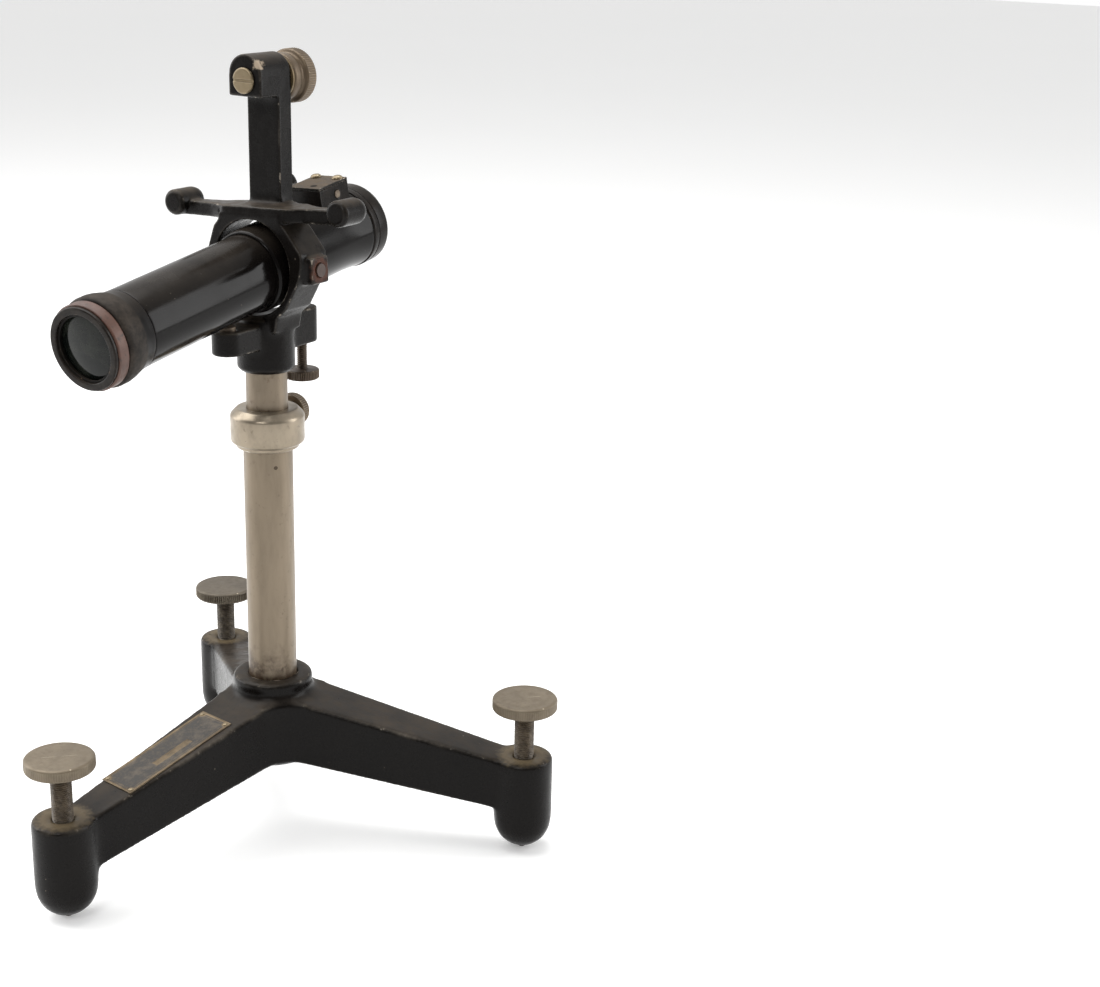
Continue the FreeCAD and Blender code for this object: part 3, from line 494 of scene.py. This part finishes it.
M_BRASS = metal("old_brass", (0.230, 0.180, 0.108), (0.140, 0.105, 0.060), 0.32, 0.46, (0.085, 0.06, 0.032), 0.60, (1, 1, 1), 0.15, (0.46, 0.39, 0.27), None, 0.6)
M_DRAW = metal("lacquered_brass", (0.165, 0.118, 0.060), (0.105, 0.074, 0.036), 0.30, 0.44, (0.06, 0.04, 0.02), 0.60, (1, 1, 1), 0.10, None, None, 0.6, None, 0.3)
M_BAND = metal("lacquer_brown", (0.094, 0.040, 0.025), (0.050, 0.023, 0.015), 0.40, 0.56, (0.03, 0.018, 0.013), 0.55, (1, 1, 1), 0.2, (0.20, 0.13, 0.095), None, 0.15)
M_SPRING = metal("spring_steel", (0.45, 0.44, 0.42), (0.32, 0.31, 0.29), 0.25, 0.4)
M_INNER = enamel("inner_black", 0.5, 0.7, 0.1)


def lens_material(name):
    s = Shader(name)
    smear = s.noise(120, 4, 0.6)
    col = s.mix(s.span(smear, 0.45, 0.75), (0.003, 0.0038, 0.0034), (0.016, 0.018, 0.014))
    return s.done(col, s.span(smear, 0.4, 0.8, 0.05, 0.18), 0.0, None, Specular_IOR_Level=0.16)


M_LENS = lens_material("lens_glass")


def plate_material(name, border, field, z0):
    """Etched plate: bright metal where it stands proud, dark stain in the field."""
    s = Shader(name)
    big, mid = s.noise(160, 5, 0.65), s.noise(700, 4, 0.7)
    col = s.mix(s.span(big, 0.35, 0.65), tuple(0.6 * c for c in border), border)
    col = s.mix(s.span(mid, 0.55, 0.7, 0.0, 0.7), col, (0.05, 0.035, 0.02))
    dark = s.mix(s.span(mid, 0.45, 0.68), field, tuple(2.6 * c for c in field))
    return s, col, dark, mid


# ---------------------------------------------------------------- worked rims and threads
def knurl(r_rim, z0, z1, count, deep, skew=0.0):
    def f(th, r, z):
        if z0 <= z <= z1 and r > r_rim - 0.35:
            w = min(1.0, (z - z0) / 0.35, (z1 - z) / 0.35)
            w = max(0.0, w)
            return r - deep * w * (0.5 - 0.5 * math.cos(count * th + skew * z))
        return r
    return f


def thread(r0, z0, z1, deep, pitch=0.8):
    def f(th, r, z):
        if z0 < z < z1 and abs(r - r0) < 0.05:
            w = min(1.0, (z - z0) / 0.6, (z1 - z) / 0.6)
            t = (z / pitch - th / (2 * math.pi)) % 1.0
            return r0 - deep * w * abs(2 * t - 1.0)
        return r
    return f


def both(*fs):
    def f(th, r, z):
        for g in fs:
            r = g(th, r, z)
        return r
    return f


# ---------------------------------------------------------------- stand
def base_bores(p):
    r = np.hypot(p[:, 0], p[:, 1])
    out = (r < 10.6) & (p[:, 2] < 67)
    for f in feet:
        out |= np.hypot(p[:, 0] - f.x * 1000, p[:, 1] - f.y * 1000) < 5.2
    return out


cast("cast_base", "tripod_base", M_IRON, 0.5, 26, fillet=110, keep=base_bores,
     bores=[(f.x * 1000, f.y * 1000, 4.02, 7.0, 40.5) for f in feet] + [(0, 0, 9.525, 34.0, 67.0)])
for leg in ("front", "right", "rear"):
    x, y, _ = JOINT["level_turn_" + leg]["pos_m"]
    P = T(x * 1000, y * 1000, 0) @ Matrix.Rotation({"front": 0.3, "right": 1.9, "rear": 4.1}[leg], 4, "Z")
    deep = 0.42 if leg == "rear" else 0.16
    lathe("leveller_" + leg, [(1.75, 20), (3.4, 20), (3.96, 20.6), (3.96, 58.9), (4.55, 59.2), (4.6, 60.1), (11.9, 60.1), (12.5, 60.35), (12.88, 60.95),
                              (12.88, 64.1), (12.6, 64.6), (12.0, 64.93), (11.2, 65.0), (10.4, 64.9), (9.6, 64.98), (0, 65.0), (0, 26.2), (1.75, 26.2)],
          P, M_DISC2 if leg == "rear" else M_DISC, "levelling_screw_" + leg, n=360, rad=0.18,
          shape=both(knurl(12.88, 60.8, 64.3, 90, deep), thread(3.96, 21.5, 58.0, 0.42)),
          step=lambda m: 0.11 if (abs(m[0] - 3.96) < 0.02) else 0.4 if m[0] > 12 else 3.0, sharp=50)
    lathe("level_tip_" + leg, [(0, 0), (1.25, 0), (1.66, 0.6), (1.68, 25.9), (0, 25.9)], P, M_STEEL, "levelling_point_" + leg, n=48, rad=0.2)


def plate():
    """The blank nameplate: raised double border, sunk field and a lighter panel, on the sloping top of the front leg."""
    a, b = Vector(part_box("nameplate_pin_1")[0]), Vector(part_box("nameplate_pin_1")[1])
    pins = [(Vector(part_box("nameplate_pin_%d" % i)[0]) + Vector(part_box("nameplate_pin_%d" % i)[1])) / 2 for i in range(1, 5)]
    c = sum(pins, Vector()) / 4
    ux = (pins[2] - pins[0]).normalized()
    uy = (pins[1] - pins[0]).normalized()
    uz = ux.cross(uy).normalized()
    if uz.z < 0:
        ux, uz = -ux, -uz
    F = Matrix((ux, uy, uz)).transposed().to_4x4()
    F.translation = c - uz * (0.425 * MM)
    hx, hy, t = 8.45, 25.45, 0.5
    PANEL = (-3.9, -0.6, -9.5, 8.5)
    nx, ny = 100, 300
    xs, ys = np.linspace(-hx, hx, nx), np.linspace(-hy, hy, ny)
    X, Y = np.meshgrid(xs, ys)
    edge = np.minimum(hx - np.abs(X), hy - np.abs(Y))
    Z = np.full(X.shape, t)
    sunk = 1 / (1 + np.exp(-(edge - 1.15) / 0.08))
    line = np.exp(-((edge - 1.8) / 0.13) ** 2)
    Z -= 0.16 * sunk
    Z += 0.12 * line
    pin_zone = np.zeros_like(X)
    for p in pins:
        q = F.inverted() @ p * 1000
        d = np.hypot(X - q.x, Y - q.y)
        pin_zone = np.maximum(pin_zone, 1 / (1 + np.exp((d - 1.5) / 0.1)))
    Z = Z * (1 - pin_zone) + (t - 0.03) * pin_zone
    panel = np.minimum(np.minimum(X - PANEL[0], PANEL[1] - X), np.minimum(Y - PANEL[2], PANEL[3] - Y))
    Z += 0.10 / (1 + np.exp(-panel / 0.07))
    round_off = np.clip(edge / 0.18, 0, 1)
    Z -= 0.12 * (1 - round_off) ** 2
    verts = [F @ (Vector((X[j, i], Y[j, i], Z[j, i])) * MM) for j in range(ny) for i in range(nx)]
    verts += [F @ (Vector((X[j, i], Y[j, i], 0.02)) * MM) for j in range(ny) for i in range(nx)]
    N = nx * ny
    faces = []
    for j in range(ny - 1):
        for i in range(nx - 1):
            k = j * nx + i
            faces.append((k, k + 1, k + nx + 1, k + nx))
    rim = [i for i in range(nx)] + [j * nx + nx - 1 for j in range(1, ny)] + [(ny - 1) * nx + i for i in range(nx - 2, -1, -1)] + [j * nx for j in range(ny - 2, 0, -1)]
    low = {}
    base = len(verts) - N
    used = verts[:N]
    for k in rim:
        low[k] = len(used)
        used.append(verts[base + k])
    for a_, b_ in zip(rim, rim[1:] + rim[:1]):
        faces.append((b_, a_, low[a_], low[b_]))
    faces.append([low[k] for k in reversed(rim)])
    ob = new_object("blank_plate", used, faces)
    at = ob.data.attributes.new("proud", "FLOAT", "POINT")
    z = (Z.ravel() - (t - 0.16)) / 0.14
    at.data.foreach_set("value", list(np.clip(z, 0, 1)) + [0.8] * len(rim))
    s = Shader("plate_metal")
    att = s.node("ShaderNodeAttribute", attribute_name="proud")
    big, mid = s.noise(170, 5, 0.65), s.noise(800, 4, 0.7)
    bright = s.mix(s.span(big, 0.35, 0.65), (0.075, 0.054, 0.032), (0.145, 0.108, 0.066))
    field = s.mix(s.span(mid, 0.48, 0.68), (0.014, 0.011, 0.008), (0.055, 0.042, 0.027))
    field = s.mix(s.span(big, 0.5, 0.66, 0.0, 0.75), field, (0.075, 0.057, 0.037))
    fac = s.calc("MULTIPLY", s.span(att.outputs["Fac"], 0.25, 0.75), s.span(mid, 0.30, 0.42, 0.35, 1.0))
    col = s.mix(fac, field, bright)
    mat = s.done(col, s.span(mid, 0.3, 0.7, 0.36, 0.55), s.span(fac, 0, 1, 0.35, 0.9), s.bump(mid, 0.15, 0.0001))
    finish_piece(ob, "nameplate", mat, sharp=60)
    for i, p in enumerate(pins):
        lathe("plate_pin_%d" % (i + 1), [(0, 0), (0.9, 0), (0.9, 0.5), (0.85, 0.65), (0.6, 0.79), (0.3, 0.84), (0, 0.85)],
              F @ T(*((F.inverted() @ p) * 1000).xy, 0), M_BRASS, "nameplate_pin_%d" % (i + 1), n=32, rad=0.05)


plate()

lathe("column", [(8.0, 34), (9.5, 34), (9.52, 35), (9.52, 171.9), (8.0, 171.9)], Matrix(), M_COLUMN, "column_tube", n=128, rad=0.1,
      step=lambda m: 4.0)
lathe("collar", [(9.53, 160.6), (11.7, 160.6), (12.2, 161.1), (12.25, 162.2), (13.4, 162.6), (14.05, 163.1), (14.24, 163.9), (14.24, 173.1), (13.9, 173.9),
                 (12.2, 175.7), (11.6, 176.15), (8.0, 176.15), (8.0, 172.0), (9.53, 172.0)], Matrix(), M_COLLAR, "clamp_collar", n=128, rad=0.35)
kb = [Vector(v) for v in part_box("column_key_pin")]
kc = (kb[0] + kb[1]) / 2
lathe("key_pin", [(0, -1.2), (0.98, -1.2), (0.98, 1.0), (0.7, 1.18), (0, 1.22)],
      axis_frame(kc, (kc.x, kc.y, 0)), M_STEEL, "column_key_pin", n=32, rad=0.1)

cl = JOINT["clamp_turn"]
CF = axis_frame(cl["pos_m"], cl["axis"])
lathe("collar_knob", [(1.05, 10.6), (2.5, 10.6), (2.5, 15.6), (4.2, 16.0), (4.9, 16.4), (5.0, 17.4), (6.2, 17.4), (6.75, 17.9), (6.78, 21.8), (6.3, 22.4),
                      (5.0, 22.5), (4.2, 22.2), (0, 22.2), (0, 13.4), (1.05, 13.4)], CF, M_BRONZE, "collar_clamp_screw", n=288, rad=0.15,
      shape=knurl(6.78, 17.7, 22.0, 48, 0.3), step=lambda m: 0.4 if m[0] > 6 else 3.0, sharp=50)

# ---------------------------------------------------------------- head
def yoke_bores(p):
    r = np.hypot(p[:, 0], p[:, 1])
    out = (r < 9.2) & (p[:, 2] < 209)
    out |= (np.hypot(p[:, 0], np.abs(p[:, 1]) - 21.5) < 4.4)
    out |= (np.hypot(p[:, 0], p[:, 2] - bolt_z * 1000) < 6.0)
    out |= (np.hypot(p[:, 1], p[:, 2] - ZP) < 4.0) & (np.abs(p[:, 0]) > 15)
    return out


cast("cast_yoke", "yoke_casting", M_YOKE, 0.34, 9, fillet=90, keep=yoke_bores)
tt = JOINT["tilt_turn"]["pos_m"]
lathe("tilt_thumbscrew", [(0, 183.0), (5.4, 183.0), (6.2, 183.15), (6.65, 183.6), (6.67, 186.4), (6.2, 186.9), (2.6, 187.0), (2.05, 187.3), (2.05, 216.1), (1.7, 216.6),
                          (0.85, 216.6), (0.85, 213.0), (0, 213.0)], T(tt[0] * 1000, tt[1] * 1000, 0), M_TILT, "tilt_screw", n=288, rad=0.15,
      shape=both(knurl(6.67, 183.4, 186.7, 60, 0.28), thread(2.05, 187.6, 215.8, 0.33)),
      step=lambda m: 0.11 if abs(m[0] - 2.05) < 0.02 else 0.4 if m[0] > 6 else 3.0, sharp=50)

sc = JOINT["scale_clamp_turn"]
SB = axis_frame(sc["pos_m"], sc["axis"])
e = BOSS_END * 1000
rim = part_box("scale_clamp_knob")[1][0] * 1000
hub = rim - 1.2
lathe("clamp_nut", [(4.05, e + 0.85), (hub - 1.0, e + 0.85), (hub - 0.25, e + 1.2), (hub, e + 2.0), (hub - 0.1, e + 4.4), (hub - 0.5, e + 5.0), (hub - 0.5, e + 6.0),
                    (hub - 0.2, e + 6.7), (rim - 0.45, e + 7.0), (rim - 0.05, e + 7.5), (rim - 0.03, e + 11.5), (rim - 0.45, e + 12.1), (rim - 1.2, e + 12.35),
                    (6.9, e + 12.35), (6.3, e + 12.0), (4.0, e + 12.0), (3.6, e + 12.35), (2.55, e + 12.35), (2.55, e + 2.1), (4.05, e + 2.1)],
      SB, M_BRONZE, "scale_clamp_knob", n=384, rad=0.2, shape=knurl(rim - 0.03, e + 7.4, e + 11.8, 68, 0.24), step=lambda m: 0.4 if m[0] > rim - 0.5 else 3.0, sharp=50)
cast("clamp_bolt", "scale_clamp_bolt", M_BRASS, 0.13, 3)

# ---------------------------------------------------------------- telescope


def tube_groove(th, r, z):
    if r < 13.2 and z > 95.4 and abs(r * math.cos(th)) < 2.45 and math.sin(th) < 0:
        return 14.05
    return r


lathe("tube", [(12.58, 0), (13.68, 0), (13.7, 8), (14.55, 8), (14.58, 9), (14.6, 122), (14.95, 127.5), (15.35, 131.6), (15.48, 132.8), (13.8, 132.8), (13.8, 138), (12.58, 138)],
      scope(-84), M_TUBE, "telescope_tube", n=160, rad=0.15, shape=tube_groove, step=lambda m: 6.0)
lathe("trunnion", [(14.61, 0), (15.2, 0), (15.88, 0.8), (15.88, 19.2), (15.2, 20), (14.61, 20)], scope(-10), M_TUBE, "trunnion_band", n=128, rad=0.4)
lathe("front_collar", [(13.2, 0), (15.5, 0), (16.15, 0.5), (16.38, 1.4), (16.38, 4.4), (16.1, 6.2), (15.5, 8.6), (15.0, 10.4), (14.72, 12.2), (14.62, 13.9), (13.7, 13.9), (13.7, 6.0), (13.2, 6.0)],
      scope(-90), M_DULL, "objective_collar", n=144, rad=0.4)
lathe("front_cell", [(12.2, 0.25), (12.5, 0), (14.55, 0), (14.88, 0.3), (14.88, 1.5), (14.3, 1.5), (14.3, 6.2), (13.2, 6.2), (13.2, 12.0), (11.2, 12.0), (11.2, 9.2), (12.2, 9.2)],
      scope(-96.3), M_RIM, "objective_cell", n=144, rad=0.22)
lathe("front_band", [(14.31, 0), (15.25, 0), (15.57, 0.35), (15.57, 4.2), (15.3, 4.55), (14.31, 4.55)], scope(-94.75), M_BAND, "objective_band", n=144, rad=0.2)
lathe("lens_ring", [(11.35, 0), (12.18, 0), (12.18, 1.35), (11.62, 1.35)], scope(-95.3), M_INNER, "objective_retainer", n=128, rad=0.12)
lathe("front_lens", [(0, 0), (2, 0.03), (4, 0.12), (6, 0.28), (8, 0.5), (10, 0.8), (11.0, 0.98), (12.15, 1.2), (12.15, 2.7), (11.0, 2.95), (8, 3.45), (4, 3.9), (0, 4.05)],
      scope(-94.65), M_LENS, "objective_crown", n=128, rad=0.05)
lathe("eye_flange", [(12.56, 9.3), (14.6, 9.3), (15.5, 8.9), (15.88, 8.0), (15.88, 3.4), (15.62, 3.2), (15.62, 2.9), (15.88, 2.7), (15.88, 0.5), (15.5, 0.08), (13.81, 0.08), (13.81, 5.3), (12.56, 5.3)],
      scope(49), M_CAP, "rear_cap", n=144, rad=0.3,
      shape=lambda th, r, z: 14.15 if r < 14.0 and abs(r * math.cos(th)) < 2.45 and math.sin(th) < 0 else r)
cast("cast_block", "pinion_block", M_CAP, 0.22, 3)
cast("cast_cover", "pinion_cover", M_COVER, 0.15, 2)
for i in (1, 2):
    lo, hi = [Vector(v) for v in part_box("cover_screw_%d" % i)]
    mid = TP.inverted() @ ((lo + hi) / 2) * 1000
    lathe("dome_screw_%d" % i, [(0, 0.1), (0.78, 0.1), (0.78, 4.5), (2.15, 4.52), (2.12, 4.9), (1.85, 5.3), (1.3, 5.62), (0.6, 5.76), (0, 5.79)],
          TP @ T(mid.x, mid.y, 17.2), M_BRASS, "cover_screw_%d" % i, n=48, rad=0.1)
ft = JOINT["focus_turn"]
FK = axis_frame(ft["pos_m"], tuple(-v for v in ft["axis"]), TEL_Z)
lathe("focus_wheel", [(1.5, 7.8), (2.9, 7.8), (3.2, 8.1), (3.2, 17.2), (6.6, 17.2), (7.2, 17.4), (7.46, 18.0), (7.48, 22.0), (7.0, 22.7), (6.0, 22.8), (5.0, 22.4), (0, 22.3), (0, 22.05), (1.5, 22.05)],
      FK, M_CAP, "focus_knob", n=288, rad=0.18, shape=knurl(7.48, 17.6, 22.4, 56, 0.28), step=lambda m: 0.4 if m[0] > 7 else 3.0, sharp=50)
lathe("eye_cup", [(5.0, 0), (5.88, 0), (5.88, 3.2), (7.4, 3.2), (7.78, 3.6), (7.78, 6.4), (7.2, 7.05), (4.7, 7.1), (2.7, 3.95), (2.6, 3.2), (5.0, 3.2)],
      scope(57.8), M_BRONZE, "eyepiece_cap", n=240, rad=0.2, shape=knurl(7.78, 3.8, 6.3, 48, 0.2), step=lambda m: 0.4 if m[0] > 7.3 else 3.0, sharp=50)

# pieces whose own shape is right: only their surface changes
KEEP = {"inner_rod": M_ROD, "column_grub_screw": M_STEEL, "head_set_screw": M_STEEL, "pivot_screw_right": M_PIVOT, "pivot_screw_left": M_PIVOT,
        "tilt_button": M_STEEL, "plunger": M_STEEL, "plunger_plug": M_STEEL, "scale_clamp_washer": M_DRAW,
        "collar_clamp_pad": M_DRAW, "pinion_shaft": M_STEEL, "draw_tube": M_DRAW, "rack": M_DRAW, "eyepiece_holder": M_DRAW,
        "eyepiece_barrel": M_DRAW, "reticle_ring": M_INNER, "reticle_glass": M_LENS, "field_lens": M_LENS, "eye_lens": M_LENS,
        "eye_spacer": M_INNER, "objective_flint": M_LENS}
for n, m in KEEP.items():
    o = frame["nodes"][n]
    if not o.material_slots:
        o.data.materials.append(m)
    for sl in o.material_slots:
        sl.material = m

# the spring, which sits between its fixed foot on the head and the plunger, is a copy of its own mesh in spring steel
src = frame["nodes"]["plunger_spring"]
spring = bpy.data.objects.new("spring", src.data.copy())
bpy.context.scene.collection.objects.link(spring)
spring.data.materials.clear()
spring.data.materials.append(M_SPRING)
lo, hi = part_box("plunger_spring")
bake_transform(spring)
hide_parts("plunger_spring")

# ---------------------------------------------------------------- floor, light, camera
def floor_material():
    s = Shader("pale_floor")
    s.b.inputs["Emission Color"].default_value = (1, 1, 1, 1)
    return s.done(s.mix(s.noise(3, 3), (0.80, 0.80, 0.795), (0.83, 0.83, 0.825)), 0.7, 0.0, None, Emission_Strength=0.24, Specular_IOR_Level=0.2)


me = bpy.data.meshes.new("floor")
me.from_pydata([(-6, -6, 0), (6, -6, 0), (6, 6, 0), (-6, 6, 0)], [], [(0, 1, 2, 3)])
floor = bpy.data.objects.new("floor", me)
bpy.context.scene.collection.objects.link(floor)
me.materials.append(floor_material())


def area(name, pos, at, size, watts, color=(1, 1, 1), size_y=None):
    d = bpy.data.lights.new(name, "AREA")
    d.shape = "RECTANGLE"
    d.size, d.size_y = size, size_y or size
    d.energy = watts
    d.color = color
    o = bpy.data.objects.new(name, d)
    bpy.context.scene.collection.objects.link(o)
    o.location = pos
    o.rotation_euler = (Vector(at) - Vector(pos)).to_track_quat("-Z", "Y").to_euler()
    return o


AZ, EL, ROLL = math.radians(121.3), math.radians(18.144), math.radians(1.536)
view_dir = Vector((math.cos(AZ), math.sin(AZ), 0))
side = Vector((math.sin(AZ), -math.cos(AZ), 0))
mid = Vector((0, 0, 0.15))
area("top_box", mid + view_dir * 0.15 - side * 0.35 + Vector((0, 0, 1.15)), mid, 1.3, 22)
area("left_box", mid - side * 1.1 + view_dir * 0.25 + Vector((0, 0, 0.40)), mid, 0.6, 8, size_y=0.9)
area("right_box", mid + side * 1.05 + view_dir * 0.1 + Vector((0, 0, 0.35)), mid, 0.4, 6, size_y=0.9)
area("front_box", mid - view_dir * 1.3 - side * 0.35 + Vector((0, 0, 1.0)), mid, 0.5, 7)

w = bpy.data.worlds.new("studio")
bpy.context.scene.world = w
w.use_nodes = True
nt = w.node_tree
nt.nodes.clear()
out = nt.nodes.new("ShaderNodeOutputWorld")
bg = nt.nodes.new("ShaderNodeBackground")
tc = nt.nodes.new("ShaderNodeTexCoord")
dot = nt.nodes.new("ShaderNodeVectorMath")
dot.operation = "DOT_PRODUCT"
dot.inputs[1].default_value = view_dir
ramp = nt.nodes.new("ShaderNodeMapRange")
ramp.clamp = True
for i, v in enumerate((-0.75, 0.5, 0.16, 1.0)):
    ramp.inputs[i + 1].default_value = v
nt.links.new(tc.outputs["Generated"], dot.inputs[0])
nt.links.new(dot.outputs["Value"], ramp.inputs[0])
nt.links.new(ramp.outputs[0], bg.inputs["Color"])
bg.inputs["Strength"].default_value = 1.0
nt.links.new(bg.outputs[0], out.inputs[0])

cam = bpy.data.cameras.new("camera")
cam.sensor_fit = "HORIZONTAL"
cam.sensor_width = 36.0
cam.lens = 1886.99 / 1100 * 36.0
cam.clip_start, cam.clip_end = 0.01, 50
co = bpy.data.objects.new("camera", cam)
bpy.context.scene.collection.objects.link(co)
fwd = Vector((math.cos(AZ) * math.cos(EL), math.sin(AZ) * math.cos(EL), -math.sin(EL)))
right = Vector((math.sin(AZ), -math.cos(AZ), 0))
upv = right.cross(fwd)
c_, s_ = math.cos(ROLL), math.sin(ROLL)
r2, u2 = c_ * right + s_ * upv, -s_ * right + c_ * upv
M = Matrix((r2, u2, -fwd)).transposed().to_4x4()
M.translation = Vector((0.4561, -0.5395, 0.3728))
co.matrix_world = M
bpy.context.scene.camera = co
bpy.context.scene.view_settings.view_transform = "Standard"
